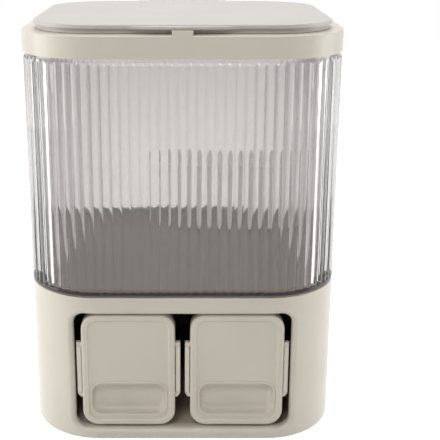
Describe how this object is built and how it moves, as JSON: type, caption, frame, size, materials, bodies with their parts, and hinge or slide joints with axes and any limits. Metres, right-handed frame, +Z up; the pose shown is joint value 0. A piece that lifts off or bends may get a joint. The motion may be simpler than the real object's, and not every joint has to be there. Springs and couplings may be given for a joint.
{
  "type": "rice storage bin with drawers",
  "caption": "Upright rice bin: clear fluted container with a hinged flip lid on a base whose front window holds snap-lid storage boxes that slide out as drawers.",
  "frame": {"origin": "middle of the footprint, on the ground", "axes": "+Z up, front faces -Y, +X to the viewer's right"},
  "size_m": [0.3, 0.261, 0.4044],
  "materials": {
    "shell_plastic": "satin warm beige",
    "deck_plastic": "satin beige",
    "tray_plastic": "satin beige",
    "foot_rubber": "matt grey",
    "container_plastic": "clear, polished, fluted",
    "collar_plastic": "satin warm beige",
    "lid_plastic": "satin warm beige",
    "liner_plastic": "satin beige",
    "seal_silicone": "soft, translucent white",
    "pin_steel": "drawn wire",
    "cup_plastic": "frosted, translucent",
    "box_plastic": "clear, polished",
    "box_lid_plastic": "satin warm beige",
    "flap_plastic": "satin warm beige"
  },
  "bodies": {
    "base": {"base_shell": "shell_plastic", "base_deck": "deck_plastic", "guide_tray": "tray_plastic", "foot_front_left": "foot_rubber", "foot_front_right": "foot_rubber", "foot_rear_left": "foot_rubber", "foot_rear_right": "foot_rubber"},
    "container": {"container": "container_plastic", "collar": "collar_plastic", "collar_gasket": "seal_silicone", "hinge_pin": "pin_steel"},
    "lid": {"lid": "lid_plastic", "lid_liner": "liner_plastic", "lid_gasket": "seal_silicone"},
    "measuring_cup": {"measuring_cup": "cup_plastic"},
    "drawer_left": {"box_left": "box_plastic", "box_gasket_left": "seal_silicone", "box_lid_left": "box_lid_plastic", "flap_pin_left_outer": "pin_steel", "flap_pin_left_inner": "pin_steel"},
    "flap_left_outer": {"flap_left_outer": "flap_plastic"},
    "flap_left_inner": {"flap_left_inner": "flap_plastic"},
    "drawer_right": {"box_right": "box_plastic", "box_gasket_right": "seal_silicone", "box_lid_right": "box_lid_plastic", "flap_pin_right_outer": "pin_steel", "flap_pin_right_inner": "pin_steel"},
    "flap_right_outer": {"flap_right_outer": "flap_plastic"},
    "flap_right_inner": {"flap_right_inner": "flap_plastic"}
  },
  "joints": [
    {"name": "container_lift", "type": "slide", "parent": "base", "child": "container", "axis": [0, 0, 1], "range_m": [0, 0.06]},
    {"name": "lid_hinge", "type": "hinge", "parent": "container", "child": "lid", "pos_m": [0, 0.1229, 0.3998], "axis": [-1, 0, 0], "range_deg": [0, 105]},
    {"name": "cup_lift", "type": "slide", "parent": "container", "child": "measuring_cup", "axis": [0, 0, 1], "range_m": [0, 0.15]},
    {"name": "drawer_left_slide", "type": "slide", "parent": "base", "child": "drawer_left", "axis": [0, -1, 0], "range_m": [0, 0.2]},
    {"name": "flap_left_outer_hinge", "type": "hinge", "parent": "drawer_left", "child": "flap_left_outer", "pos_m": [-0.1001, -0.1198, 0.0725], "axis": [0, 0, 1], "range_deg": [0, 66]},
    {"name": "flap_left_inner_hinge", "type": "hinge", "parent": "drawer_left", "child": "flap_left_inner", "pos_m": [-0.0045, -0.1198, 0.0725], "axis": [0, 0, -1], "range_deg": [0, 9]},
    {"name": "drawer_right_slide", "type": "slide", "parent": "base", "child": "drawer_right", "axis": [0, -1, 0], "range_m": [0, 0.2]},
    {"name": "flap_right_outer_hinge", "type": "hinge", "parent": "drawer_right", "child": "flap_right_outer", "pos_m": [0.1001, -0.1198, 0.0725], "axis": [0, 0, -1], "range_deg": [0, 66]},
    {"name": "flap_right_inner_hinge", "type": "hinge", "parent": "drawer_right", "child": "flap_right_inner", "pos_m": [0.0045, -0.1198, 0.0725], "axis": [0, 0, 1], "range_deg": [0, 9]}
  ],
  "couplings": [
    {"joint": "flap_left_outer_hinge", "follows": "drawer_left_slide", "rad_per_m": 5.75},
    {"joint": "flap_left_inner_hinge", "follows": "drawer_left_slide", "rad_per_m": 0.78},
    {"joint": "flap_right_outer_hinge", "follows": "drawer_right_slide", "rad_per_m": 5.75},
    {"joint": "flap_right_inner_hinge", "follows": "drawer_right_slide", "rad_per_m": 0.78}
  ]
}
